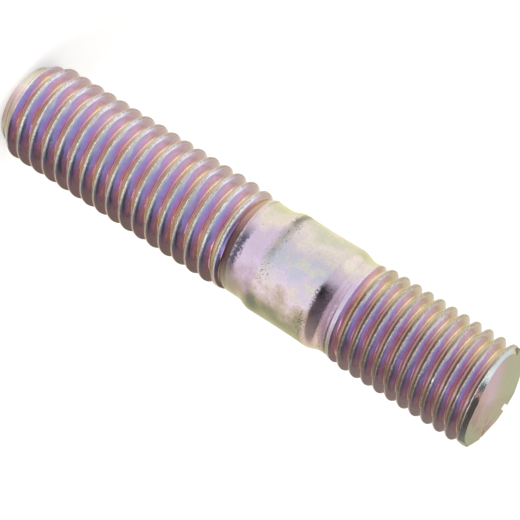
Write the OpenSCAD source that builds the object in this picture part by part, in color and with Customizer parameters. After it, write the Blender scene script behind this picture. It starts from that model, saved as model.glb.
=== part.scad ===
// Sprocket stud: one piece of steel with a long coarse thread, a plain collar between
// two waisted necks, and a short finer thread. It stands on the coned end of its long
// thread with its axis along +Z and the cropped end of the short thread on top.
// Both threads are right-handed and are rolled in their true form.

/* [Long thread] */
// Outside diameter of the long thread
long_d = 9.75; // [9.3:0.05:10.5]
// Pitch of the long thread
long_pitch = 1.5; // [1.25:0.25:1.75]
// Length from the long end to the neck
long_len = 26.5; // [18:0.5:40]
// Stretch next to the neck in which the long thread fades out
long_fade = 3; // [2:0.5:4]
// Diameter of the flat at the long end
long_end_d = 7.5; // [6.5:0.1:8.5]
// Length of the cone that leads into the long thread
long_lead = 1.75; // [1:0.05:2.5]

/* [Collar] */
// Diameter of the plain collar
collar_d = 9.8; // [9.5:0.05:11]
// Length of the plain collar
collar_len = 6; // [3:0.5:12]
// Length of the cone from each neck up to the collar
shoulder_len = 1.5; // [0.8:0.1:2.5]

/* [Necks] */
// Depth of both necks below the outside of the thread beside them
neck_depth = 0.35; // [0.2:0.05:0.5]
// Length of the neck beside the long thread
long_neck_len = 1.2; // [0.5:0.1:3]
// Length of the neck beside the short thread
short_neck_len = 0.3; // [0.2:0.1:2]

/* [Short thread] */
// Outside diameter of the short thread
short_d = 9.75; // [9.3:0.05:10.5]
// Pitch of the short thread
short_pitch = 1.25; // [1:0.25:1.5]
// Length from the neck to the middle of the cropped end
short_len = 15; // [10:0.5:24]
// Stretch next to the neck in which the short thread fades in
short_fade = 2.2; // [1.5:0.1:3]
// Angle at which the short thread's crest passes the middle of the cropped end
short_crest_angle = 90; // [0:5:355]

/* [Cropped end] */
// Slope of the sheared half of the end face
shear_slope = 6; // [0:1:14]
// Angle from -X, about the axis, towards which the sheared half falls
shear_turn = 17; // [-30:1:30]
// Angles about the axis at which a stretch of the rim is broken off
break_angles = [53, 22, 356]; // [0:1:360]
// Depth of each broken stretch, in from the outside diameter
break_depths = [0.3, 0.5, 0.4]; // [0.2:0.05:1.5]
// Fall of each broken surface towards the outside
break_falls = [22, 22, 72]; // [15:1:80]
// Angles about the axis at which a notch is torn into the rim
notch_angles = [89, 44]; // [0:1:360]
// Depth of each notch, in from the outside diameter
notch_depths = [1.1, 1.1]; // [0.5:0.05:2]
// Width of each notch
notch_widths = [0.6, 0.45]; // [0.2:0.05:1.5]
// Fall of the floor of each notch towards the outside
notch_fall = 22; // [15:1:45]
// Thickness of the lip that the shear turned out over the last groove
lip_h = 0.35; // [0.1:0.05:0.6]

/* [Hidden] */
$fn = 64;

// Straight pieces in one turn of a thread
turn_steps = 32;
// Thread form: depth and half the crest flat, as shares of the pitch, and the flank angle
form_depth = 0.6134;
form_crest = 1 / 16;
form_flank = 30;
// Room by which a cutting shape runs past what it cuts
over = 2;
// Room by which a blank stays outside the crests it doesn't trim
skin = 0.05;
// Depth by which a fading thread ends under the neck's skin
under = 0.15;

long_neck_r = long_d / 2 - neck_depth;
short_neck_r = short_d / 2 - neck_depth;
collar_r = collar_d / 2;
z_long_neck = long_len;
z_shoulder = z_long_neck + long_neck_len;
z_collar = z_shoulder + shoulder_len;
z_collar_top = z_collar + collar_len;
z_short_neck = z_collar_top + shoulder_len;
z_short = z_short_neck + short_neck_len;
z_crop = z_short + short_len;

function root_r(d, pitch) = d / 2 - form_depth * pitch;

// One pitch of the thread form as [height share, radius], from crest to root
function form(d, pitch) =
    let (root_edge = form_crest + form_depth * tan(form_flank))
    [[-form_crest, d / 2], [form_crest, d / 2],
     [root_edge, root_r(d, pitch)], [1 - root_edge, root_r(d, pitch)]];

// Solid helical thread that covers from_z to to_z, with a crest at crest_z at angle 0
module helix(d, pitch, from_z, to_z, crest_z) {
    shape = form(d, pitch);
    row_n = len(shape);
    base_z = crest_z - ceil((crest_z - from_z) / pitch + 1.5) * pitch;
    turns = ceil((to_z - base_z) / pitch + 1.5);
    rows = turns * row_n;
    low = turn_steps * rows;
    high = low + 1;
    points = concat(
        [for (j = [0 : turn_steps - 1], i = [0 : rows - 1])
            let (angle = 360 * j / turn_steps, at = shape[i % row_n])
            [at[1] * cos(angle), at[1] * sin(angle),
             base_z + pitch * (floor(i / row_n) + j / turn_steps + at[0])]],
        [[0, 0, base_z - pitch], [0, 0, base_z + pitch * (turns + 1)]]);
    // Number of row i in column j, where a full turn lands one pitch higher
    function spot(j, i) = j < turn_steps ? j * rows + i : i + row_n;
    last = turn_steps - 1;
    low_rim = concat([for (j = [0 : last]) spot(j, 0)], [for (i = [row_n : -1 : 1]) spot(0, i)]);
    high_rim = concat(
        [for (j = [0 : last]) spot(j, rows - 1)],
        [for (i = [rows - 2 : -1 : rows - 1 - row_n]) spot(last, i)]);
    wall = [for (j = [0 : last], i = [0 : rows - 2 - (j == last ? row_n : 0)])
        each [[spot(j, i), spot(j, i + 1), spot(j + 1, i + 1)],
              [spot(j, i), spot(j + 1, i + 1), spot(j + 1, i)]]];
    low_cap = [for (k = [0 : len(low_rim) - 1])
        [low, low_rim[k], low_rim[(k + 1) % len(low_rim)]]];
    high_cap = [for (k = [0 : len(high_rim) - 1])
        [high, high_rim[(k + 1) % len(high_rim)], high_rim[k]]];
    polyhedron(points = points, faces = concat(wall, low_cap, high_cap));
}

// Long thread, trimmed by the blank it was rolled on
module long_thread() {
    full_r = long_d / 2 + skin;
    fade_slope = neck_depth / long_fade;
    fade_end = long_len + under / fade_slope;
    lead_slope = (long_d - long_end_d) / 2 / long_lead;
    intersection() {
        helix(long_d, long_pitch, 0, fade_end, 0);
        rotate_extrude()
            polygon([
                [0, 0], [long_end_d / 2, 0],
                [full_r, long_lead + skin / lead_slope],
                [full_r, long_len - long_fade - skin / fade_slope],
                [long_neck_r - under, fade_end], [0, fade_end]]);
    }
}

// Short thread, run past the cropped end
module short_thread() {
    full_r = short_d / 2 + skin;
    fade_slope = neck_depth / short_fade;
    fade_start = z_short - under / fade_slope;
    top = z_crop + over;
    intersection() {
        helix(short_d, short_pitch, fade_start, top, z_crop - short_crest_angle / 360 * short_pitch);
        rotate_extrude()
            polygon([
                [0, fade_start], [short_neck_r - under, fade_start],
                [full_r, z_short + short_fade + skin / fade_slope],
                [full_r, top], [0, top]]);
    }
}

// Collar, shoulders and necks, with cones that fill the grooves as they fade out
module shank() {
    long_core = root_r(long_d, long_pitch) - under;
    short_core = root_r(short_d, short_pitch) - under;
    rotate_extrude()
        polygon([
            [0, long_len - long_fade], [long_core, long_len - long_fade],
            [long_neck_r, z_long_neck], [long_neck_r, z_shoulder],
            [collar_r, z_collar], [collar_r, z_collar_top],
            [short_neck_r, z_short_neck], [short_neck_r, z_short],
            [short_core, z_short + short_fade], [0, z_short + short_fade]]);
}

// Everything above the end face: one half square to the axis, the other sheared to a slope
module crop() {
    wide = short_d + 2 * over;
    translate([-wide / 2, -wide / 2, z_crop])
        cube([wide, wide, 2 * over]);
    translate([0, 0, z_crop])
        rotate([0, -shear_slope, shear_turn])
            translate([-wide, -wide / 2, 0])
                cube([wide, wide, 2 * over]);
}

// Lip over the last groove along the far quarter of the sheared half
module lip() {
    intersection() {
        translate([0, 0, z_crop])
            rotate([0, -shear_slope, shear_turn])
                translate([0, 0, -lip_h])
                    cylinder(d = short_d - 2 * skin, h = lip_h + over, $fn = turn_steps);
        translate([-short_d, 0, z_short])
            cube([short_d, short_d, short_len + over]);
    }
}

// A break in the rim: it starts on the end face at a depth from the outside and falls outwards
module rim_break(angle, depth, fall, width) {
    rotate([0, 0, angle])
        translate([short_d / 2 - depth, 0, z_crop])
            rotate([0, fall, 0])
                translate([0, -width / 2, 0])
                    cube([short_d, width, 2 * over]);
}

module stud() {
    color("#b9a0a8")
        difference() {
            union() {
                long_thread();
                shank();
                short_thread();
                lip();
            }
            crop();
            for (k = [0 : len(break_angles) - 1])
                rim_break(break_angles[k], break_depths[k], break_falls[k], short_d);
            for (k = [0 : len(notch_angles) - 1])
                rim_break(notch_angles[k], notch_depths[k], notch_fall, notch_widths[k]);
        }
}

stud();
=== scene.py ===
# %% [markdown]
# # A sprocket stud in yellow chromate
# The part is one turned steel stud: a long coarse thread, a plain collar between two waisted necks, and a
# short finer thread with a cropped end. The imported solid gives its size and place. This lesson makes a
# finer mesh of the same form with Geometry Nodes, and then gives it the rainbow film that plating shops
# call yellow chromate.

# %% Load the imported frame
import math

import bmesh
import bpy
from mathutils import Matrix, Vector


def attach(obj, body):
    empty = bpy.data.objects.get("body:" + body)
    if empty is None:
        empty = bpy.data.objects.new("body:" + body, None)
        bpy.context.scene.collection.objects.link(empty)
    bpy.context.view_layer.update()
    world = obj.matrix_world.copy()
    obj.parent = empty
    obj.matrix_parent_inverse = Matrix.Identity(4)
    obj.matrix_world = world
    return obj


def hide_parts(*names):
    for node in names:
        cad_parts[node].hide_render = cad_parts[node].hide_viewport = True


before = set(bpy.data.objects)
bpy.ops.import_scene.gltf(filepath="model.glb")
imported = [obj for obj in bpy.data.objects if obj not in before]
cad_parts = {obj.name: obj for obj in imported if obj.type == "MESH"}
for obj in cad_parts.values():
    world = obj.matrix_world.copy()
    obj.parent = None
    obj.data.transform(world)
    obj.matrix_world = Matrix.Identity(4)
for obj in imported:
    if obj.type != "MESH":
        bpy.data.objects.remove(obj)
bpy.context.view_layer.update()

# One millimetre in Blender's metres
MM = 0.001
scene = bpy.context.scene

# %% [markdown]
# ## The camera
# The photo was taken with a long lens, from a little above the middle of the stud. The stud stands upright
# here, so the camera is rolled until the axis runs from the upper left to the lower right of the picture. A
# Track To constraint would aim it but not roll it. Building the camera's three axes from an elevation and a
# roll keeps both angles readable.

# %% Camera
ELEVATION = math.radians(20.58)
ROLL = math.radians(32.507)
CAMERA_PLACE = Vector((0.689, -186.06, 97.33)) * MM
LENS_MM, SENSOR_MM = 156.45, 36
# Nothing nearer to the lens than this is drawn
NEAREST = 10 * MM

forward = Vector((0, math.cos(ELEVATION), -math.sin(ELEVATION)))
axis_up = Vector((0, math.sin(ELEVATION), math.cos(ELEVATION)))
side = Vector((1, 0, 0))
right = math.cos(ROLL) * axis_up - math.sin(ROLL) * side
up = -math.sin(ROLL) * axis_up - math.cos(ROLL) * side

camera = bpy.data.objects.new("camera", bpy.data.cameras.new("camera"))
camera.data.lens = LENS_MM
camera.data.sensor_width = SENSOR_MM
camera.data.clip_start = NEAREST
camera.matrix_world = Matrix((right, up, -forward)).transposed().to_4x4()
camera.location = CAMERA_PLACE
scene.collection.objects.link(camera)
scene.camera = camera
print("camera at", [round(v / MM, 2) for v in camera.location], "mm")

# %% [markdown]
# ## One helper for every node tree
# Geometry Nodes and materials are built in the same way: add a node, set its options, and feed its inputs
# with a link or a plain value. One function does that for all of them, and fills a colour ramp where a node
# has one. A kind in capitals, such as MULTIPLY, is an operation of the Math node. The function returns the
# first output that the node's options leave switched on, because that is nearly always the one the next
# node needs. Colours are written as on a colour picker, and `linear` turns them into the values that Blender
# calculates with.

# %% Node helper
MATH = "ShaderNodeMath"
RANGE = "ShaderNodeMapRange"
MIX = "ShaderNodeMix"
RAMP = "ShaderNodeValToRGB"
NOISE = "ShaderNodeTexNoise"


def linear(code):
    """The colour that an sRGB code such as #808080 stands for, in linear light."""
    values = [int(code[k:k + 2], 16) / 255 for k in (1, 3, 5)]
    return [v / 12.92 if v <= 0.04045 else ((v + 0.055) / 1.055) ** 2.4 for v in values] + [1.0]


def add(tree, kind, *inputs, named=None, stops=(), **settings):
    if kind.isupper():
        kind, settings = MATH, {"operation": kind}
    made = tree.nodes.new(kind)
    for name, value in settings.items():
        setattr(made, name, value)
    for k, (where, code) in enumerate(stops):
        # A new ramp has two stops already
        stop = made.color_ramp.elements[k] if k < 2 else made.color_ramp.elements.new(where)
        stop.position, stop.color = where, linear(code)
    for where, what in list(enumerate(inputs)) + list((named or {}).items()):
        if isinstance(what, bpy.types.NodeSocket):
            tree.links.new(what, made.inputs[where])
        else:
            made.inputs[where].default_value = what
    return next((socket for socket in made.outputs if socket.enabled), None)


print("mid grey #808080 is", round(linear("#808080")[0], 3), "in linear light")

# %% [markdown]
# ## The sizes of the stud
# These are the sizes that the solid is built from, in millimetres, with four small ones that only a finer
# mesh can show: the waist of the collar, the nicks, the dents and the run of the short neck under its
# thread. The tree below gets them as named inputs, so each can be tried out in the modifier panel.

# %% Sizes in millimetres
SIZES = {
    "Outside diameter": 9.75,
    "Long pitch": 1.5,
    "Short pitch": 1.25,
    "Thread depth share": 0.6134,
    "End flat diameter": 7.5,
    "End cone length": 1.75,
    "Long length": 26.5,
    "Long fade": 3.0,
    "Neck depth": 0.35,
    "Long neck end": 27.7,
    "Shoulder length": 1.5,
    "Collar diameter": 9.8,
    "Collar end": 35.2,
    "Short thread start": 37.0,
    "Short fade": 2.2,
    "Short crest height": 39.1875,
    "Collar waist": 0.04,
    "Nick depth": 0.03,
    "Dent depth": 0.12,
    "Neck run": 0.3,
}
outside_r = SIZES["Outside diameter"] / 2
# Room by which the blank stays outside the crests, and by which a fading thread ends under the neck
SKIN = 0.05
UNDER = 0.15
depths = [round(SIZES["Thread depth share"] * SIZES[name], 3) for name in ("Long pitch", "Short pitch")]
print("thread depths:", depths)

# %% [markdown]
# ## The threads, necks and collar as one helical sheet
# A rolled thread is a groove that winds round a bar. It could be made with the Screw modifier, but that has
# one pitch from end to end, and this stud has two. Here a flat grid is rolled up instead. Every row of the
# grid climbs as it goes round, and after one turn it meets the row that starts one pitch higher, so the
# edges of the mesh follow the crests exactly.

# %% Geometry Nodes tree: inputs and grid
ROWS_PER_TURN = 16
COLUMNS = 120
FIRST_TURN, LAST_TURN = -1.5, 38.5
tree = bpy.data.node_groups.new("rolled_stud", "GeometryNodeTree")
sockets = {}
for name in SIZES:
    sockets[name] = tree.interface.new_socket(name, in_out="INPUT", socket_type="NodeSocketFloat")
sockets["Finish"] = tree.interface.new_socket("Finish", in_out="INPUT", socket_type="NodeSocketMaterial")
tree.interface.new_socket("Stud", in_out="OUTPUT", socket_type="NodeSocketGeometry")
given = add(tree, "NodeGroupInput").node.outputs

# The grid runs from 0 to 1 round the stud and counts turns along it
rows = round((LAST_TURN - FIRST_TURN) * ROWS_PER_TURN) + 1
grid = add(tree, "GeometryNodeMeshGrid", 1, LAST_TURN - FIRST_TURN, COLUMNS + 1, rows)
grid_place = add(tree, "ShaderNodeSeparateXYZ", add(tree, "GeometryNodeInputPosition")).node.outputs
around = add(tree, "ADD", grid_place[0], 0.5)
row_turn = add(tree, "ADD", grid_place[1], (FIRST_TURN + LAST_TURN) / 2)
turn = add(tree, "ADD", row_turn, around)
angle = add(tree, "MULTIPLY", around, math.tau)
print("grid of", rows, "rows and", COLUMNS, "columns")

# %% [markdown]
# ### Height from turn
# The climb is 1.5 mm a turn along the long thread and 1.25 mm along the short one. A curve could map turns
# to heights, but three straight stretches added up stay exact: the long thread, the collar between the two
# threads, where nothing shows the change, and the short thread.

# %% Height from turn
# Number of turns, counted from the long end, at which the short thread's crest passes angle zero
SHORT_CREST_TURN = 27
blend_from = add(tree, "DIVIDE", given["Long neck end"], given["Long pitch"])
short_back = add(tree, "SUBTRACT", given["Short crest height"], given["Short thread start"])
short_turns = add(tree, "DIVIDE", short_back, given["Short pitch"])
blend_to = add(tree, "SUBTRACT", SHORT_CREST_TURN, short_turns)
long_part = add(tree, "MULTIPLY", add(tree, "MINIMUM", turn, blend_from), given["Long pitch"])
blend_rise = add(tree, "SUBTRACT", given["Short thread start"], given["Long neck end"])
blend_part = add(tree, RANGE, turn, blend_from, blend_to, 0, blend_rise)
short_over = add(tree, "MAXIMUM", add(tree, "SUBTRACT", turn, blend_to), 0)
short_part = add(tree, "MULTIPLY", short_over, given["Short pitch"])
height = add(tree, "ADD", add(tree, "ADD", long_part, blend_part), short_part)
print("height from turn:", len(tree.nodes), "nodes so far")

# %% [markdown]
# ### The thread form
# The standard form is a trapezium with 60 degrees between its flanks, a narrow crest and a wider root. A
# profile curve would need a corner at each change. Map Range gives the flank as one straight slope, and
# Smooth Minimum and Smooth Maximum round its corners a little, as rolling does.

# %% Thread form
CREST_HALF = 1 / 16
HALF_ANGLE = math.radians(30)
FLANK_RUN = SIZES["Thread depth share"] * math.tan(HALF_ANGLE)
# How softly the root and the crest are rounded, as shares of the depth
ROOT_SOFT, CREST_SOFT = 0.3, 0.12


def distance(tree, value, place):
    """How far a value lies from a place, to either side of it."""
    return add(tree, "ABSOLUTE", add(tree, "SUBTRACT", value, place))


part_turn = add(tree, "FRACT", add(tree, "ADD", row_turn, 0.5))
from_crest = distance(tree, part_turn, 0.5)
slope = add(tree, RANGE, from_crest, CREST_HALF, CREST_HALF + FLANK_RUN, 0, 1, clamp=False)
slope = add(tree, "SMOOTH_MIN", slope, 1, ROOT_SOFT)
slope = add(tree, "SMOOTH_MAX", slope, 0, CREST_SOFT)
pitch = add(tree, RANGE, height, given["Long neck end"], given["Short thread start"], given["Long pitch"],
            given["Short pitch"])
full_depth = add(tree, "MULTIPLY", pitch, given["Thread depth share"])
crest_r = add(tree, "DIVIDE", given["Outside diameter"], 2)
depth_here = add(tree, "MULTIPLY", full_depth, slope)
form_r = add(tree, "SUBTRACT", crest_r, depth_here)
print("flank run:", round(FLANK_RUN, 3), "of a pitch")

# %% [markdown]
# ### Nicks and dents
# Studs are tumbled and shipped loose, so their crests carry small nicks, and a knock left a row of dents
# across the last crests of this one. They could be sculpted, but a noise with a threshold is repeatable,
# and only the crests are touched because the slope of the form masks it.

# %% Nicks and dents
SEED = 7.0
# Nicks lie about 0.8 mm apart
NICK_SCALE = 1 / 0.8
# Levels of the noise at which a nick begins and at which it is deepest
NICK_LEVELS = (0.68, 0.76)
# Place of the dents round the stud and half their width at the floor and at the rim, as shares of a turn
DENT_AT = 288 / 360
DENT_HALF = (0.004, 0.016)
# Heights at which the dents begin and from where on they are deepest
DENT_HEIGHTS = (47, 48)
round_x = add(tree, "COSINE", angle)
round_y = add(tree, "SINE", angle)
nick_place = add(tree, "ShaderNodeCombineXYZ", add(tree, "MULTIPLY", round_x, crest_r),
                 add(tree, "MULTIPLY", round_y, crest_r), height)
nick_noise = add(tree, NOISE, named={"Vector": nick_place, "W": SEED, "Scale": NICK_SCALE, "Detail": 1.0},
                 noise_dimensions="4D")
near_crest = add(tree, RANGE, slope, 0, 0.5, 1, 0)
nick = add(tree, RANGE, nick_noise, *NICK_LEVELS, 0, given["Nick depth"])
dent_side = add(tree, RANGE, distance(tree, around, DENT_AT), *DENT_HALF, 1, 0,
                interpolation_type="SMOOTHSTEP")
dent_depth = add(tree, RANGE, height, *DENT_HEIGHTS, 0, given["Dent depth"])
dent = add(tree, "MULTIPLY", dent_side, dent_depth)
marks = add(tree, "MULTIPLY", add(tree, "ADD", nick, dent), near_crest)
form_r = add(tree, "SUBTRACT", form_r, marks)
print("marks up to", SIZES["Nick depth"] + SIZES["Dent depth"], "mm deep")

# %% [markdown]
# ### The blank
# The blank is the plain bar before rolling. Its cone leads a nut on, and it tapers towards both necks,
# which is why the threads fade out there. A Boolean with a turned blank would do the same. The lower of two
# radii is simpler and leaves no cut edges.

# %% Blank
# How far the tapers run on past the long thread's end, and how far before the short thread they begin
LONG_RUN_OUT, SHORT_RUN_IN = 1.3, 0.9
fade_drop = add(tree, "ADD", given["Neck depth"], SKIN + UNDER)
end_r = add(tree, "DIVIDE", given["End flat diameter"], 2)
skin_r = add(tree, "ADD", crest_r, SKIN)
cone = add(tree, RANGE, height, 0, given["End cone length"], end_r, skin_r)
long_fade_from = add(tree, "SUBTRACT", given["Long length"], given["Long fade"])
long_fade_to = add(tree, "ADD", given["Long length"], LONG_RUN_OUT)
long_drop = add(tree, RANGE, height, long_fade_from, long_fade_to, 0, fade_drop)
short_fade_from = add(tree, "SUBTRACT", given["Short thread start"], SHORT_RUN_IN)
short_fade_to = add(tree, "ADD", given["Short thread start"], given["Short fade"])
short_rise = add(tree, RANGE, height, short_fade_from, short_fade_to, 0, fade_drop)
blank_r = add(tree, "ADD", add(tree, "SUBTRACT", cone, long_drop), short_rise)
rolled_r = add(tree, "SMOOTH_MIN", form_r, blank_r, SKIN)
print("blank:", len(tree.nodes), "nodes so far")

# %% [markdown]
# ### The shank
# The shank is what is left between the threads: two cones that fill the fading grooves, two necks, two soft
# shoulders and the collar, which is a little waisted. Each is a stretch of the height, so Map Range draws
# it, and the higher of shank and thread is the surface.

# %% Shank
# How softly the thread meets the shank
MEET_SOFT = 0.02
neck_r = add(tree, "SUBTRACT", crest_r, given["Neck depth"])
core_r = add(tree, "SUBTRACT", crest_r, add(tree, "ADD", full_depth, UNDER))
core_up = add(tree, RANGE, height, long_fade_from, given["Long length"], core_r, neck_r)
neck_run = add(tree, "ADD", given["Short thread start"], given["Neck run"])
core_down = add(tree, RANGE, height, neck_run, short_fade_to, neck_r, core_r)
neck_line = add(tree, "MINIMUM", core_up, core_down)
collar_from = add(tree, "ADD", given["Long neck end"], given["Shoulder length"])
collar_past = add(tree, "ADD", given["Collar end"], given["Shoulder length"])
collar_r = add(tree, "DIVIDE", given["Collar diameter"], 2)
collar_step = add(tree, "SUBTRACT", collar_r, neck_r)
shoulder_up = add(tree, RANGE, height, given["Long neck end"], collar_from, 0, collar_step,
                  interpolation_type="SMOOTHSTEP")
shoulder_down = add(tree, RANGE, height, given["Collar end"], collar_past, 0, collar_step,
                    interpolation_type="SMOOTHSTEP")
waist_share = add(tree, RANGE, height, collar_from, given["Collar end"], -1, 1)
waist = add(tree, "SUBTRACT", 1, add(tree, "POWER", waist_share, 2))
waist = add(tree, "MULTIPLY", waist, given["Collar waist"])
shank_r = add(tree, "SUBTRACT", add(tree, "ADD", neck_line, shoulder_up), shoulder_down)
shank_r = add(tree, "SUBTRACT", shank_r, waist)
radius = add(tree, "SMOOTH_MAX", rolled_r, shank_r, MEET_SOFT)
print("shank:", len(tree.nodes), "nodes so far")

# %% [markdown]
# ### Closing the sheet
# Both ends of the sheet are drawn together to a point on the axis, past the place where the real ends are
# cut, so that the mesh is closed without a cap. Merge by Distance then welds the seam where the turns meet.

# %% Closing the sheet
# Turns past which the sheet is drawn together, and the heights of the points that it ends in
LOW_TURN, HIGH_TURN = -0.5, 38.0
LOW_TIP, HIGH_TIP = -2.0, 55.0
# A turn between the two ends, which tells them apart
MIDDLE_TURN = 10.0
# Points nearer to each other than this are welded, in metres
WELD = 1e-6
low_open = add(tree, "GREATER_THAN", turn, LOW_TURN)
high_open = add(tree, "LESS_THAN", turn, HIGH_TURN)
open_here = add(tree, "MULTIPLY", low_open, high_open)
radius = add(tree, "MULTIPLY", radius, open_here)
upper_end = add(tree, "FunctionNodeCompare", turn, MIDDLE_TURN, operation="GREATER_THAN")
tip = add(tree, "GeometryNodeSwitch", upper_end, LOW_TIP, HIGH_TIP, input_type="FLOAT")
is_open = add(tree, "FunctionNodeCompare", open_here, 0.5, operation="GREATER_THAN")
height = add(tree, "GeometryNodeSwitch", is_open, tip, height, input_type="FLOAT")
place = add(tree, "ShaderNodeCombineXYZ", add(tree, "MULTIPLY", round_x, radius),
            add(tree, "MULTIPLY", round_y, radius), height)
place = add(tree, "ShaderNodeVectorMath", place, named={"Scale": MM}, operation="SCALE")
sheet = add(tree, "GeometryNodeSetPosition", grid, named={"Position": place})
sheet = add(tree, "GeometryNodeMergeByDistance", sheet, named={"Distance": WELD})
sheet = add(tree, "GeometryNodeRealizeInstances", sheet)
sheet = add(tree, "GeometryNodeSetMaterial", sheet, named={"Material": given["Finish"]})
add(tree, "NodeGroupOutput", sheet)
print("tree of", len(tree.nodes), "nodes")

# %% [markdown]
# ## The finish
# Yellow chromate is a film less than a thousandth of a millimetre thick on bright zinc. Light that comes
# back from the top and from the bottom of the film adds up for some colours and cancels for others, so the
# colour follows the film's thickness: silver where it is thin, then blue, violet, magenta and gold. A
# thin-film setting would need that thickness at every point. A ramp of the film's colours is easier to
# steer, so the colours go into the base colour of a metal. First the tree needs to know where on the stud a
# point lies. Object coordinates give that, and the angle and the height together give its place between one
# crest and the next.

# %% Where a point of the surface lies
# Height in the collar that parts the two threads
COLLAR_MIDDLE = 32.0
# Shares of a turn from angle zero, either way round, between which a mask along a helix fades out
SEAM = (0.43, 0.49)


def start(data):
    """Switch on the node tree of a new material or world, and empty it."""
    data.use_nodes = True
    data.node_tree.nodes.clear()
    return data.node_tree


def in_millimetres(tree):
    """The place on the object in millimetres, so that one over a size is a noise's scale."""
    place = add(tree, "ShaderNodeTexCoord").node.outputs["Object"]
    return add(tree, "ShaderNodeVectorMath", place, named={"Scale": 1 / MM}, operation="SCALE")


finish = bpy.data.materials.new("yellow_chromate_on_zinc")
film = start(finish)
spot = in_millimetres(film)
x, y, z = add(film, "ShaderNodeSeparateXYZ", spot).node.outputs
film_angle = add(film, "ARCTAN2", y, x)
part_angle = add(film, "DIVIDE", film_angle, math.tau)
# 0 on the -X side, where the angle starts again, so that no mask along a helix ends there with a hard edge
seam_fade = add(film, RANGE, add(film, "ABSOLUTE", part_angle), *SEAM, 1, 0)
# From -1 on the stud's -X side to 1 on its +X side
across = add(film, "COSINE", film_angle)
# 1 on the +Y half, where the painted shade at the edges is left out and the painted side shading is weaker
far = add(film, RANGE, add(film, "SINE", film_angle), -0.02, 0.5, 0, 1)
# From 0 on the -X side to 1 on the +X side, and only to 0.62 there on the +Y half
round_place = add(film, RANGE, across, -1, 1, 0, add(film, RANGE, far, 0, 1, 1, 0.62))
on_short = add(film, "GREATER_THAN", z, COLLAR_MIDDLE)
long_turn = add(film, "DIVIDE", z, SIZES["Long pitch"])
short_turn = add(film, "DIVIDE", add(film, "SUBTRACT", z, SIZES["Short crest height"]),
                 SIZES["Short pitch"])
film_turn = add(film, "SUBTRACT", add(film, MIX, on_short, named={2: long_turn, 3: short_turn}), part_angle)
# 0 on a crest, 0.5 in a root and 1 on the next crest
phase = add(film, "FRACT", film_turn)
print("finish:", finish.name)

# %% [markdown]
# ### Film that wanders
# The film is never even: it drains off the stud as it leaves the bath, so its thickness drifts over a
# couple of millimetres, and the zinc under it is finely crystalline. Two noises, a slow one and a fine one,
# push the place at which a colour is looked up. Mixing in noise colours would look dirty. Moving the
# look-up keeps every colour one that the film can have.

# %% Wandering film
CLOUD_MM = 2.0
# Zinc crystals are about 0.02 mm wide, which wouldn't show, so the grain is drawn 0.14 mm wide
GRAIN_MM = 0.14
# Most values of a noise lie between these two
NOISE_SPAN = (0.3, 0.7)
# How far the two noises move the look-up, as shares of a pitch
WANDER, JITTER = 0.09, 0.03
# Phase at the middle of the upper flank, the only face on which the film wanders
UPPER_FLANK = 0.3
cloud = add(film, NOISE, named={"Vector": spot, "Scale": 1 / CLOUD_MM, "Detail": 2.0})
grain = add(film, NOISE, named={"Vector": spot, "Scale": 1 / GRAIN_MM, "Detail": 2.0})
on_flank = add(film, RANGE, distance(film, phase, UPPER_FLANK), 0.06, 0.16, 1, 0)
wander = add(film, "MULTIPLY", add(film, RANGE, cloud, *NOISE_SPAN, -WANDER, WANDER), on_flank)
jitter = add(film, RANGE, grain, 0.25, 0.75, -JITTER, JITTER)
film_place = add(film, "ADD", add(film, "ADD", phase, wander), jitter)
film_place = add(film, "FRACT", film_place)
print("wander of", WANDER, "and grain of", JITTER, "of a pitch")

# %% [markdown]
# ### Film on the threads, with painted light and shade
# The film is thin and silver on the crests and thicker towards the roots. A ramp from crest to root holds the
# colours in that order: one for the middle, one for the pink side and one for the plum side. The side decides
# how they are mixed. The pink -X side is painted lighter and the plum +X side darker, which is painted light
# and shade, and the bright edge beside each crest and the pale yellow roots on the pink side are painted
# highlights. The finer thread's film is stronger, with brown crests, so it has its own three.

# %% Film on the threads
# Film colours with painted light and shade: lighter on the pink side, darker on the plum side, with painted
# highlights by the crests and pink roots
LONG_FILM_AND_PAINTED_LIGHT = (
    [(0.0, "#867A6A"), (0.05, "#EEECE8"), (0.085, "#E6E6EC"), (0.13, "#B2B6DA"), (0.22, "#9EA4EC"),
     (0.31, "#AE99F4"), (0.39, "#C48FEA"), (0.44, "#D298B6"), (0.48, "#CC9088"), (0.52, "#B88878"),
     (0.6, "#ECD494"), (0.72, "#FCF4E4"), (0.87, "#F6EEE4"), (0.93, "#B4A26A"), (0.98, "#867A6A")],
    [(0.0, "#B4A698"), (0.05, "#EAE4E0"), (0.1, "#E0DAE2"), (0.18, "#CEBADF"), (0.3, "#E0BAE2"),
     (0.4, "#D8ACC0"), (0.44, "#D4B09C"), (0.5, "#F6ECC0"), (0.6, "#FFFADC"), (0.75, "#FFF8F0"),
     (0.92, "#DCD2C0")],
    [(0.0, "#7C726A"), (0.06, "#CCCAC8"), (0.09, "#B0ACB0"), (0.12, "#8C8290"), (0.18, "#947F9A"),
     (0.3, "#AC7EB0"), (0.4, "#D498AA"), (0.48, "#B09068"), (0.62, "#D8C490"), (0.75, "#D0C8BC"),
     (0.92, "#8C7E66")])
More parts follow.
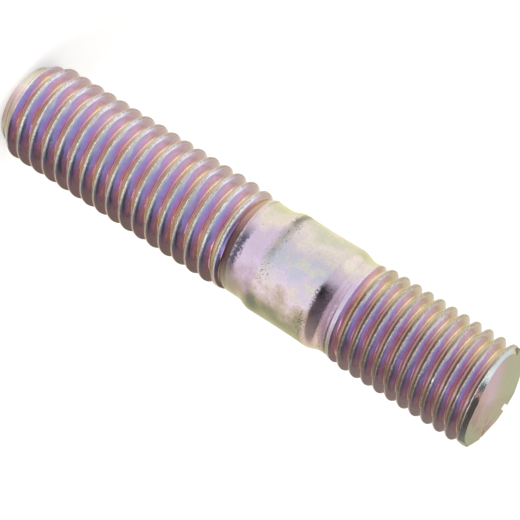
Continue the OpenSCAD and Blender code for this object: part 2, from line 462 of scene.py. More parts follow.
SHORT_FILM_AND_PAINTED_LIGHT = (
    [(0.0, "#54423A"), (0.05, "#46382E"), (0.11, "#FFFAFF"), (0.15, "#BCBCE8"), (0.2, "#989CF8"),
     (0.28, "#A29EFF"), (0.36, "#BA92F4"), (0.43, "#CA8AB2"), (0.48, "#B27C84"), (0.52, "#94627A"),
     (0.57, "#A07064"), (0.64, "#DEBA88"), (0.71, "#F2E4CC"), (0.84, "#F0DEC2"), (0.94, "#705442")],
    [(0.0, "#C0B49C"), (0.05, "#B4A898"), (0.1, "#F0ECEA"), (0.16, "#E4CEDA"), (0.22, "#D6B6D6"),
     (0.3, "#DEB4D6"), (0.38, "#E0B8C8"), (0.44, "#DCBC9C"), (0.5, "#F6EEC0"), (0.62, "#FFFADC"),
     (0.8, "#FFFAF0"), (0.94, "#CCC094")],
    [(0.0, "#5C4838"), (0.05, "#50443E"), (0.11, "#C8C4C4"), (0.14, "#80767E"), (0.2, "#7C6C94"),
     (0.3, "#986EAA"), (0.4, "#AC7CA8"), (0.53, "#806450"), (0.66, "#D4BC8C"), (0.8, "#C8B69C"),
     (0.94, "#785E40")])
# Where the lighter painted pink side and the darker painted plum side begin, and from where on only they show
LIT_AND_SHADED_SIDES = ((-0.22, -0.72), (0.36, 0.68))
layers = []
for middle, *outer in (LONG_FILM_AND_PAINTED_LIGHT, SHORT_FILM_AND_PAINTED_LIGHT):
    layer = add(film, RAMP, film_place, stops=middle)
    for stops, (from_side, to_side) in zip(outer, LIT_AND_SHADED_SIDES):
        side_film_and_shade = add(film, RAMP, film_place, stops=stops)
        share = add(film, RANGE, across, from_side, to_side, 0, 1)
        layer = add(film, MIX, share, named={6: layer, 7: side_film_and_shade}, data_type="RGBA")
    layers.append(layer)
colour = add(film, MIX, on_short, named={6: layers[0], 7: layers[1]}, data_type="RGBA")
# Everything that lies over this film, in order: the share that it covers and its colour
coats = []
print("films of", [[len(stops) for stops in ramps] for ramps in (LONG_FILM_AND_PAINTED_LIGHT, SHORT_FILM_AND_PAINTED_LIGHT)], "colours")

# %% [markdown]
# ### Painted lines beside the crests and roots
# Beside each crest a line is painted: silver on the pink side, which is a painted highlight on the crest's
# rounded edge, and navy on the plum side, which is a painted dark reflection. By the roots the plum side also
# has an orange line, a painted glint of the fill lamp in the roots, which shows most on the long thread. The
# lines fade from side to side, which a stop of a ramp can't do, so Map Range masks them by phase and side.

# %% Painted lines in the film
# Place of the line beside a crest on the pink and on the plum side, and its shift on the short thread
LINE_AT = (0.1, 0.165)
SHORT_SHIFT = 0.025
# Colour of the line, where it begins and from where on it is strongest, and its strength: a painted highlight
# on the pink side and a painted dark reflection on the plum side
HIGHLIGHT_AND_SHADE_LINES = (("#E8E8FF", -0.1, -0.4, 0.85), ("#5C5A7C", 0.05, 0.38, 0.78))
# Phase of the orange line, a painted glint, and its strength on the long and on the short thread
ORANGE_GLINT_AT = 0.45
ORANGE_GLINT_STRENGTH = (0.7, 0.2)
line_place = add(film, "ADD", add(film, RANGE, across, -0.75, 0.1, *LINE_AT),
                 add(film, "MULTIPLY", on_short, SHORT_SHIFT))
on_painted_line = add(film, RANGE, distance(film, film_place, line_place), 0.02, 0.06, 1, 0)
for code, from_side, to_side, strength in HIGHLIGHT_AND_SHADE_LINES:
    painted_line_side = add(film, RANGE, across, from_side, to_side, 0, strength)
    share = add(film, "MULTIPLY", on_painted_line, painted_line_side)
    coats.append((share, linear(code)))
on_orange_glint = add(film, RANGE, distance(film, film_place, ORANGE_GLINT_AT), 0.02, 0.055, 1, 0)
orange_glint_level = add(film, RANGE, on_short, 0, 1, *ORANGE_GLINT_STRENGTH)
orange_glint_side = add(film, "MULTIPLY", add(film, RANGE, across, 0, 0.25, 0, orange_glint_level),
                  add(film, RANGE, across, 0.45, 0.75, 1, 0.3))
share = add(film, "MULTIPLY", on_orange_glint, orange_glint_side)
# The orange line is a painted glint by the roots
coats.append((share, linear("#DEA080")))
print("lines:", len(film.nodes), "nodes so far")

# %% [markdown]
# ### Painted shade at the edges
# At both edges of the stud's -Y half the colour is painted one shade from crest to root: tan on the pink side
# and rust on the plum side. That is painted shade and reflection where the faces turn away, and it is left
# out on the +Y half. Only the lower flanks keep their pale film. More ramps could hold that, but one colour
# needs no ramp, so a mask by side lays it over the others.

# %% Painted shade at the edges
EDGE_SHADE_STRENGTH = 0.84
# Phase at the middle of a lower flank, and how far from there its limit begins and ends
LOWER_FLANK = 0.74
LOWER_LIMIT = (0.17, 0.22)
# Painted shade on the long and on the short thread, where it begins and from where on it is strongest
PAINTED_EDGE_SHADE = (("#B49A98", "#BCA88A", -0.75, -0.93), ("#BE988E", "#BC9C98", 0.74, 0.94))
off_lower = distance(film, phase, LOWER_FLANK)
edge_shade_share = add(film, "MULTIPLY", add(film, RANGE, far, 0, 1, EDGE_SHADE_STRENGTH, 0),
                 add(film, RANGE, off_lower, *LOWER_LIMIT, 0, 1))
for long_code, short_code, from_side, to_side in PAINTED_EDGE_SHADE:
    edge_shade_colour = add(film, MIX, on_short, named={6: linear(long_code), 7: linear(short_code)},
                    data_type="RGBA")
    share = add(film, RANGE, across, from_side, to_side, 0, edge_shade_share)
    coats.append((share, edge_shade_colour))
print("threads:", len(film.nodes), "nodes so far")

# %% [markdown]
# ### The last flank's painted reflection
# The last flank of the short thread faces no other thread, so it mirrors the room: pale on one side and
# nearly black on the other, with a small rosy patch between. That reflection is painted into the colour, as a
# ramp of its own from side to side.
# The turn, counted from the short thread's first full crest, tells where it begins.

# %% Last flank
# Turns of the short thread between which its last flank begins
LAST_FLANK = (10.08, 10.12)
last_turn = add(film, "ADD", add(film, "SUBTRACT", short_turn, part_angle), jitter)
on_last = add(film, RANGE, last_turn, *LAST_FLANK, 0, seam_fade)
last_place = add(film, "ADD", round_place, add(film, RANGE, grain, *NOISE_SPAN, -0.04, 0.04))
# Painted reflection of the room: pale, then nearly black, with a rosy patch between
last_flank_reflection = add(film, RAMP, last_place,
                stops=[(0.15, "#CCD4D8"), (0.32, "#C8D0D2"), (0.4, "#A4AEB2"), (0.45, "#50585A"),
                       (0.5, "#464A4C"), (0.52, "#8C7074"), (0.56, "#866A6E"), (0.58, "#3A3032"),
                       (0.74, "#3C3432"), (0.85, "#605A54"), (1.0, "#A8A498")])
coats.append((on_last, last_flank_reflection))
print("last flank from turn", LAST_FLANK[0], "of the short thread")

# %% [markdown]
# ### The end cone
# The cone at the long end was turned before plating, so it is smooth and carries a thin creamy film. Its
# colour is painted lightest part way towards -X and darker towards +X, as painted light and shade. A second
# material would need the faces sorted. Comparing a point's distance from the axis with the cone's radius at
# that height finds the cone in the same tree.

# %% End cone
# Distance from the cone within which a point is on it, first without and then with a soft edge
CONE_NEAR = (0.1, 0.16)
CONE_TOP = 1.6
reach = add(film, "ShaderNodeVectorMath", add(film, "ShaderNodeCombineXYZ", x, y), operation="LENGTH")
reach = reach.node.outputs["Value"]
cone_reach = add(film, RANGE, z, 0, SIZES["End cone length"], SIZES["End flat diameter"] / 2,
                 outside_r + SKIN)
near_cone = add(film, RANGE, distance(film, reach, cone_reach), *CONE_NEAR, 1, 0)
on_cone = add(film, "MULTIPLY", near_cone, add(film, "LESS_THAN", z, CONE_TOP))
cone_place = add(film, "ADD", round_place, add(film, RANGE, cloud, *NOISE_SPAN, -0.06, 0.06))
# Creamy film with painted light and shade from side to side
cone_film_and_shade = add(film, RAMP, cone_place,
                stops=[(0.03, "#B4ACB4"), (0.15, "#E6E2DC"), (0.31, "#FAF0EA"), (0.5, "#E8D0D4"),
                       (0.69, "#C2B2A8"), (0.85, "#C0B4AC"), (0.97, "#D4D0CC")])
coats.append((on_cone, cone_film_and_shade))
print("cone:", len(film.nodes), "nodes so far")

# %% [markdown]
# ### Collar and necks
# Plain turned stretches dry slowly, and the film there is thin and cloudy: pink and lilac in the middle, with
# creamy patches one to two millimetres wide. It is painted creamy towards the -X side and olive and darker
# towards the +X side, which is painted light and shade. Two ramps from side to side give that, their look-up
# moved by a noise with more detail than the one for the threads.

# %% Collar and necks
PATCH_MM, CREAM_MM = 2.2, 1.25
# Heights between which the collar's film begins, and between which it ends
COLLAR_LIMITS = ((29.4, 29.6), (35.2, 35.6))


def band(tree, value, rise, fall):
    """0 below the rise, 1 between the rise and the fall, and 0 above the fall."""
    return add(tree, "MULTIPLY", add(tree, RANGE, value, *rise, 0, 1), add(tree, RANGE, value, *fall, 1, 0))


patches = add(film, NOISE, named={"Vector": spot, "Scale": 1 / PATCH_MM, "Detail": 4.0, "Roughness": 0.6})
creamy = add(film, NOISE, named={"Vector": spot, "Scale": 1 / CREAM_MM, "Detail": 5.0, "Roughness": 0.65})
patch_place = add(film, "ADD", round_place, add(film, RANGE, patches, *NOISE_SPAN, -0.1, 0.1))
# Pink and lilac film, painted lighter towards -X and darker towards +X
collar_film_and_shade = add(film, RAMP, patch_place,
                  stops=[(0.02, "#C6C6B6"), (0.15, "#DCD2CA"), (0.28, "#CABEC6"), (0.4, "#BABAC6"),
                         (0.5, "#BCBCCC"), (0.6, "#CCC0D2"), (0.7, "#D6C6D0"), (0.79, "#B8A698"),
                         (0.88, "#988E78"), (0.97, "#84846A")])
cream_share = add(film, "MULTIPLY", add(film, RANGE, creamy, 0.48, 0.66, 0, 0.7),
                  add(film, RANGE, across, 0.4, 0.75, 1, 0.15))
collar_film_and_shade = add(film, MIX, cream_share, named={6: collar_film_and_shade, 7: linear("#D2CCB2")}, data_type="RGBA")
neck_film_and_shade = add(film, RAMP, patch_place,
                stops=[(0.02, "#CCCAAE"), (0.15, "#DED2C8"), (0.3, "#CAB8CC"), (0.5, "#C6B6CC"),
                       (0.66, "#D0BED4"), (0.82, "#AC9698"), (0.97, "#8E8A6C")])
on_collar = band(film, z, *COLLAR_LIMITS)
plain_film_and_shade = add(film, MIX, on_collar, named={6: neck_film_and_shade, 7: collar_film_and_shade}, data_type="RGBA")
print("collar film: patches of", PATCH_MM, "and", CREAM_MM, "mm")

# %% [markdown]
# ### Where the necks end
# The film of the long neck starts at a height. At the short neck it runs on over the first crest, so that
# the limit is higher on every face but the upper flank.

# %% Necks meet threads
# Heights between which the film of the long neck begins, and between which that of the short neck ends
LONG_NECK, SHORT_NECK = (26.2, 26.6), (36.8, 37.2)
# Phase at the middle of the first upper flank, and how much higher the limit lies away from it
FIRST_UPPER = 0.33
OVER_CREST = 0.9
off_upper = distance(film, phase, FIRST_UPPER)
neck_z = add(film, "SUBTRACT", z, add(film, RANGE, off_upper, 0.15, 0.19, 0, OVER_CREST))
plain = add(film, "MULTIPLY", add(film, RANGE, z, *LONG_NECK, 0, 1),
            add(film, RANGE, neck_z, *SHORT_NECK, 1, 0))
coats.append((plain, plain_film_and_shade))
print("plain film from", LONG_NECK[0], "to", SHORT_NECK[1], "mm")

# %% [markdown]
# ### Run-outs: painted shade and a red flank
# Where the long thread runs out, its last groove is painted brown, darker towards the +X side, as painted
# shade beside the last thread. The short thread's first flank is redder than the others. Taking the climb of
# the helix away from the height gives a number that is the same all along one groove, so one range of it
# masks one groove.

# %% Shaded and stained run-outs
# Where the last long groove and the first short flank begin and end, with the climb taken away
LONG_GROOVE_SHADE = ((25.7, 26.0), (26.65, 26.85))
SHORT_FLANK = ((38.18, 38.3), (38.6, 38.75))
FLANK_STRENGTH = 0.6
long_climb = add(film, "MULTIPLY", part_angle, SIZES["Long pitch"])
in_shaded_groove = band(film, add(film, "SUBTRACT", z, long_climb), *LONG_GROOVE_SHADE)
groove_shade_end = add(film, RANGE, part_angle, 0, 0.08, seam_fade, 0)
in_shaded_groove = add(film, "MULTIPLY", in_shaded_groove, groove_shade_end)
# Painted shade in the last long groove, darker towards +X
groove_shade = add(film, RAMP, round_place,
                  stops=[(0.08, "#CCB09C"), (0.25, "#C09890"), (0.36, "#9C7474"), (0.48, "#6A4A4E"),
                         (0.75, "#54383A"), (0.93, "#867260")])
coats.append((in_shaded_groove, groove_shade))
short_climb = add(film, "MULTIPLY", part_angle, SIZES["Short pitch"])
first_flank = band(film, add(film, "SUBTRACT", z, short_climb), *SHORT_FLANK)
flank_end = add(film, "MULTIPLY", seam_fade, FLANK_STRENGTH)
first_flank = add(film, "MULTIPLY", first_flank, flank_end)
coats.append((first_flank, linear("#C88C8C")))
print("run-outs:", len(film.nodes), "nodes so far")

# %% [markdown]
# ### Pits
# The collar is pitted: in a ring by its lower edge and in a patch by its upper edge. Pits could be
# scattered as points, but they only show as dark specks, so a fine noise with a threshold draws them, and
# the threshold falls where they lie dense.

# %% Pits
PIT_MM = 0.17
# Heights between which the ring of pits begins, and between which it ends
RING = ((29.35, 29.9), (29.7, 31.0))
# Heights and sides between which the patch of pits begins
CORNER_Z, CORNER_SIDE = (32.6, 34.8), (0.25, 0.65)
# Level of the noise above which a pit shows, where pits are rare and where they lie dense
RARE, DENSE = 0.68, 0.46
speck = add(film, NOISE, named={"Vector": spot, "Scale": 1 / PIT_MM, "Detail": 3.0})
corner = add(film, "MULTIPLY", add(film, RANGE, z, *CORNER_Z, 0, 1),
             add(film, RANGE, across, *CORNER_SIDE, 0, 1))
dense = add(film, "MAXIMUM", band(film, z, *RING), corner)
dense = add(film, "MULTIPLY", dense, plain)
dense = add(film, "MULTIPLY", dense, add(film, RANGE, patches, 0.35, 0.6, 0.4, 1))
pit_level = add(film, RANGE, dense, 0, 1, RARE, DENSE)
pits = add(film, RANGE, add(film, "SUBTRACT", speck, pit_level), 0, 0.1, 0, 0.65)
coats.append((pits, linear("#55504A")))
print("pits about", PIT_MM, "mm wide")

# %% [markdown]
# ### Stains and painted shade
# Dark marks lie along both shoulders and by the long neck, and one by the short neck is pale. The dark band
# by the long neck and the dark band at the upper shoulder are painted dark reflections of the room in the
# hollow necks, and the grey smear above the collar's lower ring is a painted shadow. Each is an oval in
# height and side with soft edges, and the speck noise makes the edges ragged. A short table keeps their
# places together.

# %% Stains
# Each stain or painted shade: height, half height, soft edge, place from side to side, half width, soft edge,
# strength and colour
STAINS_AND_PAINTED_SHADE = (
    (29.6, 0.1, 0.3, -0.88, 0.12, 0.1, 0.75, "#6A6058"),
    (29.7, 0.3, 0.4, 0.86, 0.1, 0.12, 0.65, "#5E625A"),
    # Painted dark reflection beside the long neck
    (26.8, 0.15, 0.4, 0.2, 0.25, 0.35, 0.9, "#403E4E"),
    # Painted dark reflection in the upper shoulder
    (35.85, 0.35, 0.4, 0.26, 0.14, 0.36, 0.8, "#6A5252"),
    (36.0, 0.5, 0.5, 0.82, 0.08, 0.3, 0.85, "#E6C8C0"),
    # Painted dark reflection, the darkest part of the upper shoulder's band
    (35.55, 0.15, 0.35, 0.02, 0.05, 0.14, 0.8, "#2E2C30"),
    # Painted shadow above the collar's lower ring
    (29.8, 0.1, 0.5, -0.35, 0.3, 0.3, 0.4, "#77726E"),
    (36.8, 0.3, 0.4, 0.3, 0.25, 0.35, 0.6, "#84646C"),
)
ragged = add(film, RANGE, speck, *NOISE_SPAN, -0.25, 0.25)
for at_z, half_z, soft_z, at_side, half_side, soft_side, strength, code in STAINS_AND_PAINTED_SHADE:
    off_z = add(film, "ADD", distance(film, z, at_z), ragged)
    off_side = distance(film, across, at_side)
    stain_or_shade = add(film, "MULTIPLY", add(film, RANGE, off_z, half_z, half_z + soft_z, strength, 0),
                add(film, RANGE, off_side, half_side, half_side + soft_side, 1, 0))
    coats.append((stain_or_shade, linear(code)))
print(len(STAINS_AND_PAINTED_SHADE), "stains")

# %% [markdown]
# ### Frosted crests and grain
# Handling breaks the film on the crests, so that each crest is a frosted line, and the zinc's grain makes
# every colour a little uneven. Both are noises over the colour: one kept to the crests, the other all over.
# The frost is the last coat, so a loop here lays all the coats over the film of the threads in turn.

# %% Frosted crests and grain
# Phase of the frosted line on the long and on the short thread
FROST_AT = (0.06, 0.1)
# Scuffs on a crest are about 0.05 mm long, which wouldn't show, so they are drawn 0.15 mm long
SCUFF_MM = 0.15
off_crest = distance(film, phase, add(film, RANGE, on_short, 0, 1, *FROST_AT))
scuffs = add(film, NOISE, named={"Vector": spot, "Scale": 1 / SCUFF_MM, "Detail": 1.0})
frost = add(film, "MULTIPLY", add(film, RANGE, off_crest, 0.03, 0.06, 1, 0),
            add(film, RANGE, scuffs, 0.35, 0.65, 0, 0.7))
frost = add(film, "MULTIPLY", frost, add(film, RANGE, plain, 0, 1, 1, 0))
coats.append((frost, linear("#8E8A86")))
for share, coat in coats:
    colour = add(film, MIX, share, named={6: colour, 7: coat}, data_type="RGBA")
dust = add(film, RANGE, grain, *NOISE_SPAN, 0.93, 1.05)
colour = add(film, MIX, 1.0, named={6: colour, 7: dust}, data_type="RGBA", blend_type="MULTIPLY")
print(len(coats), "coats over the film, and scuffs of", SCUFF_MM, "mm")

# %% [markdown]
# ### The plated surface
# Bright zinc under a clear film mirrors the room softly. The lower flanks look milky rather than bright, so
# they are only part metal, and least so on the plum side. The yellow of the film shows most at a low angle,
# which is what a metal's Specular Tint is for.

# %% Plated surface
rough = add(film, RANGE, cloud, *NOISE_SPAN, 0.17, 0.28)
bumps = add(film, "ShaderNodeBump", named={"Strength": 0.12, "Distance": 0.02 * MM, "Height": grain})
# Share of metal on the lower flanks, from the pink to the plum side, and on the threads' other faces
lower_metal = add(film, RANGE, across, 0.0, 0.3, 0.5, 0.2)
upper_metal = add(film, RANGE, on_short, 0, 1, 1.0, 0.75)
metal = add(film, RANGE, off_lower, *LOWER_LIMIT, lower_metal, upper_metal)
metal = add(film, "MAXIMUM", add(film, "MAXIMUM", metal, plain), on_cone)
# Zinc plate under yellow chromate: a bright, soft mirror that turns from silver to blue, violet and gold
shader = add(film, "ShaderNodeBsdfPrincipled",
             named={"Base Color": colour, "Metallic": metal, "Roughness": rough, "Normal": bumps,
                    "Specular Tint": linear("#FFFBE0")})
add(film, "ShaderNodeOutputMaterial", shader)
print("finish:", finish.name, len(film.nodes), "nodes")

# %% [markdown]
# ## The sheared end
# The cropped end was sheared, not turned, so it is rougher than the rest and mirrors little. Its film is
# khaki on the +Y half and pink on the -Y half. Two ramps that run at an angle to X, mixed from one half to
# the other, give that. A slow noise keeps the border between the halves from being straight.

# %% Sheared end
# Angle between X and the line that the ramps run along
RAMP_TURN = math.radians(-20)
END_CLOUD_MM = 1.7
# How far, in millimetres, the noise moves the border and the ramps, and half the width that the ramps span
BLUR, END_HALF = 0.8, 5
end_finish = bpy.data.materials.new("yellow_chromate_on_sheared_steel")
end_film = start(end_finish)
end_spot = in_millimetres(end_film)
end_x, end_y = add(end_film, "ShaderNodeSeparateXYZ", end_spot).node.outputs[:2]
end_cloud = add(end_film, NOISE, named={"Vector": end_spot, "Scale": 1 / END_CLOUD_MM, "Detail": 3.0})
blur = add(end_film, RANGE, end_cloud, *NOISE_SPAN, -BLUR, BLUR)
end_along = add(end_film, "ADD", add(end_film, "MULTIPLY", end_x, math.cos(RAMP_TURN)),
                add(end_film, "MULTIPLY", end_y, math.sin(RAMP_TURN)))
end_along = add(end_film, "ADD", end_along, blur)
end_along = add(end_film, RANGE, end_along, -END_HALF, END_HALF, 0, 1)
end_far = add(end_film, RAMP, end_along,
              stops=[(0.3, "#B8B694"), (0.46, "#C2B698"), (0.62, "#C2B49A"), (0.76, "#BCB094"),
                     (0.84, "#B4B692")])
end_near = add(end_film, RAMP, end_along,
               stops=[(0.24, "#BAB098"), (0.44, "#D0B4BA"), (0.54, "#D0B4B8"), (0.66, "#CAB0A4"),
                      (0.76, "#BCA694"), (0.84, "#B2B490")])
near_share = add(end_film, RANGE, add(end_film, "ADD", end_y, blur), 0.9, -2.3, 0, 1)
end_colour = add(end_film, MIX, near_share, named={6: end_far, 7: end_near}, data_type="RGBA")
print("end film:", len(end_film.nodes), "nodes so far")

# %% [markdown]
# ### Blots and torn grain
# The high side of the sheared end has rosy blots, where the bath dried in the torn steel. They are a noise
# with a threshold, kept to a strip of the end. The torn grain is too shallow to change the outline, so bump
# shows it.

# %% Blots and torn grain
BLOT_MM, TORN_MM = 0.9, 0.3
# Where, along X in millimetres, the strip of blots begins and ends
BLOT_STRIP = ((0.5, 1.8), (2.8, 3.6))
blots = add(end_film, NOISE, named={"Vector": end_spot, "Scale": 1 / BLOT_MM, "Detail": 3.0})
blot_share = add(end_film, "MULTIPLY", add(end_film, RANGE, blots, 0.48, 0.6, 0, 0.7),
                 band(end_film, end_x, *BLOT_STRIP))
end_colour = add(end_film, MIX, blot_share, named={6: end_colour, 7: linear("#B8908A")}, data_type="RGBA")
end_grain = add(end_film, NOISE, named={"Vector": end_spot, "Scale": 1 / TORN_MM, "Detail": 3.0})
end_rough = add(end_film, RANGE, end_cloud, *NOISE_SPAN, 0.5, 0.65)
end_bumps = add(end_film, "ShaderNodeBump",
                named={"Strength": 0.3, "Distance": 0.03 * MM, "Height": end_grain})
# Sheared steel under the same film: satin, khaki and pink, with a torn grain
end_shader = add(end_film, "ShaderNodeBsdfPrincipled",
                 named={"Base Color": end_colour, "Metallic": 0.8, "Roughness": end_rough,
                        "Normal": end_bumps})
add(end_film, "ShaderNodeOutputMaterial", end_shader)
print("finish:", end_finish.name, len(end_film.nodes), "nodes")

# %% [markdown]
# ## A mesh from the tree
# The tree makes its mesh on a modifier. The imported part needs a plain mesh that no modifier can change
# later, so the result is copied off the evaluated object and the object with the modifier is thrown away.

# %% Mesh from the tree
def from_tree(name, values, material):
    holder = bpy.data.objects.new(name + "_holder", bpy.data.meshes.new(name + "_holder"))
    scene.collection.objects.link(holder)
    modifier = holder.modifiers.new("rolled", "NODES")
    modifier.node_group = tree
    for label, value in values.items():
        modifier[sockets[label].identifier] = value
    modifier[sockets["Finish"].identifier] = material
    evaluated = holder.evaluated_get(bpy.context.evaluated_depsgraph_get())
    mesh = bpy.data.meshes.new_from_object(evaluated)
    bpy.data.objects.remove(holder)
    mesh.name = name
    # An empty slot comes first in the copy, so the slots are set afresh
    mesh.materials.clear()
    for face in mesh.polygons:
        face.material_index = 0
    for slot_material in (material, end_finish):
        mesh.materials.append(slot_material)
    return mesh


stud_mesh = from_tree("rolled", SIZES, finish)
print("rolled sheet:", len(stud_mesh.polygons), "faces")

# %% [markdown]
# ## The cropped end
# The short thread was cropped off a longer bar: half of the end face is square, the other half was sheared
# to a slope and turned a lip out over the last groove, and stretches of the rim broke away. Modelling them
# by hand would lose the sizes. Each is a flat at a known place, so the cuts are matrices: a cut takes away
# what lies on the +Z side of its own frame.

# %% Places of the cuts
CROP_Z = 52.0
SHEAR_SLOPE, SHEAR_TURN = math.radians(6), math.radians(17)
# Room by which a cutting shape runs past what it cuts
OVER = 2.0
top = Matrix.Translation((0, 0, CROP_Z))
shear = top @ Matrix.Rotation(SHEAR_TURN, 4, "Z") @ Matrix.Rotation(-SHEAR_SLOPE, 4, "Y")


def at_rim(degrees, depth_in, fall):
    """A place on the end face, turned about the axis, in from the outside, with its face falling outwards."""
    turned = Matrix.Rotation(math.radians(degrees), 4, "Z")
    placed = turned @ Matrix.Translation((outside_r - depth_in, 0, CROP_Z))
    return placed @ Matrix.Rotation(math.radians(fall), 4, "Y")


print("sheared half falls", round(math.degrees(SHEAR_SLOPE)), "degrees")

# %% [markdown]
# ### The lip
# The shear turned a thin lip out over the last groove on the far quarter of the sloped half. A short disc,
# cut to a quarter, is joined to the sheet with a Boolean, because the groove under it has to stay open.

# %% The lip
LIP_HEIGHT = 0.35
LIP_SIDES = 96
# Slot of the sheared finish on the mesh
CUT_SLOT = 1


def combine(mesh, tool, operation):
    """Join a closed tool to the mesh, or cut it away, and return the result as a plain mesh."""
    holder, other = bpy.data.objects.new("holder", mesh), bpy.data.objects.new("tool", tool)
    for item in (holder, other):
        scene.collection.objects.link(item)
    modifier = holder.modifiers.new("combine", "BOOLEAN")
    modifier.object, modifier.operation, modifier.solver = other, operation, "EXACT"
    made = bpy.data.meshes.new_from_object(holder.evaluated_get(bpy.context.evaluated_depsgraph_get()))
    for item in (holder, other):
        bpy.data.objects.remove(item)
    return made


def sheared(shape, name):
    """A mesh in metres from a shape in millimetres, with the sheared finish on all its faces."""
    for face in shape.faces:
        face.material_index = CUT_SLOT
    mesh = bpy.data.meshes.new(name)
    shape.transform(Matrix.Scale(MM, 4))
    bmesh.ops.recalc_face_normals(shape, faces=shape.faces[:])
    shape.to_mesh(mesh)
    shape.free()
    for material in (finish, end_finish):
        mesh.materials.append(material)
    return mesh


shape = bmesh.new()
lip_place = shear @ Matrix.Translation((0, 0, (OVER - LIP_HEIGHT) / 2))
lip_r = outside_r - SKIN
bmesh.ops.create_cone(shape, cap_ends=True, segments=LIP_SIDES, radius1=lip_r, radius2=lip_r,
                      depth=OVER + LIP_HEIGHT, matrix=lip_place)
for normal in (Vector((1, 0, 0)), Vector((0, -1, 0))):
    everything = shape.verts[:] + shape.edges[:] + shape.faces[:]
    quarter = bmesh.ops.bisect_plane(shape, geom=everything, plane_co=(0, 0, 0), plane_no=normal,
                                     clear_outer=True)
    rim = [item for item in quarter["geom_cut"] if isinstance(item, bmesh.types.BMEdge)]
    bmesh.ops.edgenet_fill(shape, edges=rim)
stud_mesh = combine(stud_mesh, sheared(shape, "lip"), "UNION")
print("with the lip:", len(stud_mesh.polygons), "faces")

# %% [markdown]
# ### The flat cuts
# The long end, the square half, the sheared half and the broken stretches of the rim are flat from side to
# side of the stud. Bisect cuts a mesh at a plane and is faster and cleaner than a Boolean. The hole that it
# leaves is filled with one face, which gets the sheared finish.

# %% The flat cuts
# Angle about the axis, depth in from the outside and fall of each broken stretch of the rim
BREAKS = ((53, 0.3, 22), (22, 0.5, 22), (356, 0.4, 72))
# A point nearer to a plane than this lies on it, in metres
ON_PLANE = 1e-8


def slice_off(shape, place):
    """Cut everything on the +Z side of a placed plane and close the cut with a face."""
    everything = shape.verts[:] + shape.edges[:] + shape.faces[:]
    normal = place.to_3x3() @ Vector((0, 0, 1))
    cut = bmesh.ops.bisect_plane(shape, geom=everything, dist=ON_PLANE, plane_co=place.translation * MM,
                                 plane_no=normal, clear_outer=True)
    edges = [item for item in cut["geom_cut"] if isinstance(item, bmesh.types.BMEdge)]
    rim = [edge for edge in edges if len(edge.link_faces) == 1]
    for face in bmesh.ops.edgenet_fill(shape, edges=rim)["faces"]:
        face.material_index = CUT_SLOT


shape = bmesh.new()
shape.from_mesh(stud_mesh)
for place in [Matrix.Rotation(math.pi, 4, "X"), top, shear] + [at_rim(*cut) for cut in BREAKS]:
    slice_off(shape, place)
bmesh.ops.recalc_face_normals(shape, faces=shape.faces[:])
shape.to_mesh(stud_mesh)
shape.free()
print("after the flat cuts:", len(stud_mesh.polygons), "faces")

# %% [markdown]
# ### The notches
# Two narrow notches were torn into the rim. They end inside the stud, so a plane can't cut them. A box for
# each is placed in the same way as the breaks and taken away with a Boolean.

# %% The notches
# Angle about the axis, depth in from the outside and width of each notch in the rim
NOTCHES = ((89, 1.1, 0.6), (44, 1.1, 0.45))
NOTCH_FALL = 22
shape = bmesh.new()
for degrees, depth_in, width in NOTCHES:
    box = Matrix.Translation((outside_r / 2, 0, OVER)) @ Matrix.Diagonal((outside_r, width, 2 * OVER, 1))
    bmesh.ops.create_cube(shape, size=1, matrix=at_rim(degrees, depth_in, NOTCH_FALL) @ box)
stud_mesh = combine(stud_mesh, sheared(shape, "notches"), "DIFFERENCE")
stud_mesh.name = "plated_stud"
stud = bpy.data.objects.new("plated_stud", stud_mesh)
scene.collection.objects.link(stud)
shape = bmesh.new()
shape.from_mesh(stud_mesh)
open_edges = sum(1 for edge in shape.edges if len(edge.link_faces) != 2)
volume = round(shape.calc_volume() / MM ** 3, 1)
print("cropped:", len(stud_mesh.polygons), "faces,", open_edges, "open edges,", volume, "mm3")
shape.free()

# %% [markdown]
# ### Shading
# Rolled faces are smooth, and cut faces are flat with sharp rims. Smooth shading everywhere would smear
# light over the rims, so edges sharper than 38 degrees are marked and the cut faces are shaded flat.

# %% Shading
SHARP_ANGLE = math.radians(38)
stud_mesh.shade_smooth()
stud_mesh.set_sharp_from_angle(angle=SHARP_ANGLE)
cut_faces = [face for face in stud_mesh.polygons if face.material_index == CUT_SLOT]
for face in cut_faces:
    face.use_smooth = False
print("cut faces:", len(cut_faces))

# %% [markdown]
# ## The floor
# The stud stands on white paper. Paper lit to pure white would also flood the metal with light, so it is
# only light grey, and adds a little glow of its own for rays from the camera and from mirroring metal. The
# shadow of the stud still falls on it.

# %% Floor
FLOOR_HALF = 3.0
GLOW = 0.3
floor_mesh = bpy.data.meshes.new("floor")
floor_mesh.from_pydata([(-FLOOR_HALF, -FLOOR_HALF, 0), (FLOOR_HALF, -FLOOR_HALF, 0),
                        (FLOOR_HALF, FLOOR_HALF, 0), (-FLOOR_HALF, FLOOR_HALF, 0)], [], [(0, 1, 2, 3)])
floor = bpy.data.objects.new("floor", floor_mesh)
scene.collection.objects.link(floor)
paper = bpy.data.materials.new("white_paper")
sheet_tree = start(paper)
ray = add(sheet_tree, "ShaderNodeLightPath").node.outputs
seen = add(sheet_tree, "MAXIMUM", ray["Is Camera Ray"], ray["Is Glossy Ray"])
seen = add(sheet_tree, "MAXIMUM", seen, ray["Is Transmission Ray"])
glow_level = add(sheet_tree, "MULTIPLY", seen, GLOW)
glow = add(sheet_tree, "ShaderNodeEmission", named={"Strength": glow_level})
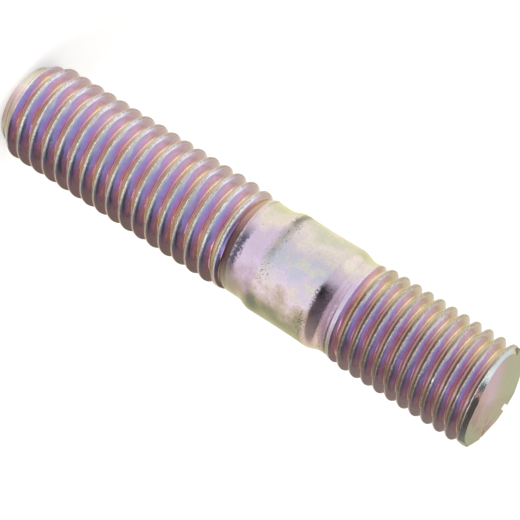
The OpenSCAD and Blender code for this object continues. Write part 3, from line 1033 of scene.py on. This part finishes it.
# White paper: matt, and a little brighter than its light alone would make it
matt = add(sheet_tree, "ShaderNodeBsdfDiffuse", linear("#F0F0F0"))
add(sheet_tree, "ShaderNodeOutputMaterial", add(sheet_tree, "ShaderNodeAddShader", glow, matt))
floor_mesh.materials.append(paper)
print("floor", 2 * FLOOR_HALF, "m wide")

# %% [markdown]
# ## The room
# A bright metal looks like what it mirrors. A dark card on the +X side gives the plum side of the stud its
# depth. The world is white, and only rays from mirroring metal see that card in it, so it takes no light
# from the floor.

# %% World
# Direction of the card's middle in degrees from -Y towards +X, and how far from there its edge fades
CARD_AT = 85
CARD_EDGE = (90, 115)
# Rise of a direction over which its top fades, where 1 is straight up
CARD_TOP = (0.75, 0.97)
# Strength of the world where it only gives light, and where it is seen or mirrored
LIGHT_LEVEL, SEEN_LEVEL = 0.7, 1.0
world = bpy.data.worlds.new("studio")
sky = start(world)
sky_ray = add(sky, "ShaderNodeLightPath").node.outputs
direction = add(sky, "ShaderNodeTexCoord").node.outputs["Generated"]
toward = add(sky, "ShaderNodeSeparateXYZ", direction).node.outputs
azimuth = add(sky, "ARCTAN2", toward[0], add(sky, "MULTIPLY", toward[1], -1))
azimuth = add(sky, "DIVIDE", azimuth, math.tau / 360)
card = add(sky, "MULTIPLY", add(sky, RANGE, distance(sky, azimuth, CARD_AT), *CARD_EDGE, 1, 0),
           add(sky, RANGE, toward[2], *CARD_TOP, 1, 0))
card = add(sky, "MULTIPLY", card, sky_ray["Is Glossy Ray"])
tint = add(sky, MIX, card, named={6: linear("#FFFFFF"), 7: linear("#A0A0A6")}, data_type="RGBA")
seen_sky = add(sky, "MAXIMUM", sky_ray["Is Camera Ray"], sky_ray["Is Glossy Ray"])
level = add(sky, RANGE, seen_sky, 0, 1, LIGHT_LEVEL, SEEN_LEVEL)
add(sky, "ShaderNodeOutputWorld", add(sky, "ShaderNodeBackground", tint, level))
scene.world = world
print("world:", len(sky.nodes), "nodes")

# %% [markdown]
# ## The lamps
# Three soft lamps light the stud: a large one on the -X side, a smaller one that lifts the plum side, and
# one overhead for the shadow. Area lamps give the soft edges that a small sun or spot lamp wouldn't.

# %% Lamps
# Name, power in watts, width in metres and place in metres of each lamp
LAMPS = (("softbox", 0.3, 0.7, (-0.5, 0.06, 0.32)),
         ("fill", 0.45, 0.2, (0.27, -0.19, 0.36)),
         ("overhead", 0.5, 0.5, (0, 0, 0.6)))
# The middle of the stud, which every lamp points at
LAMP_TARGET = Vector((0, 0, 0.026))
for name, power, width, place in LAMPS:
    lamp = bpy.data.objects.new(name, bpy.data.lights.new(name, "AREA"))
    lamp.data.energy, lamp.data.size = power, width
    lamp.location = place
    lamp.rotation_euler = (LAMP_TARGET - lamp.location).to_track_quat("-Z", "Y").to_euler()
    scene.collection.objects.link(lamp)
scene.view_settings.view_transform = "Standard"
print("lamps:", [lamp[0] for lamp in LAMPS])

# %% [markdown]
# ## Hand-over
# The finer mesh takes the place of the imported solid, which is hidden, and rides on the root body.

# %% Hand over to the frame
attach(stud, "root")
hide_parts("stud")
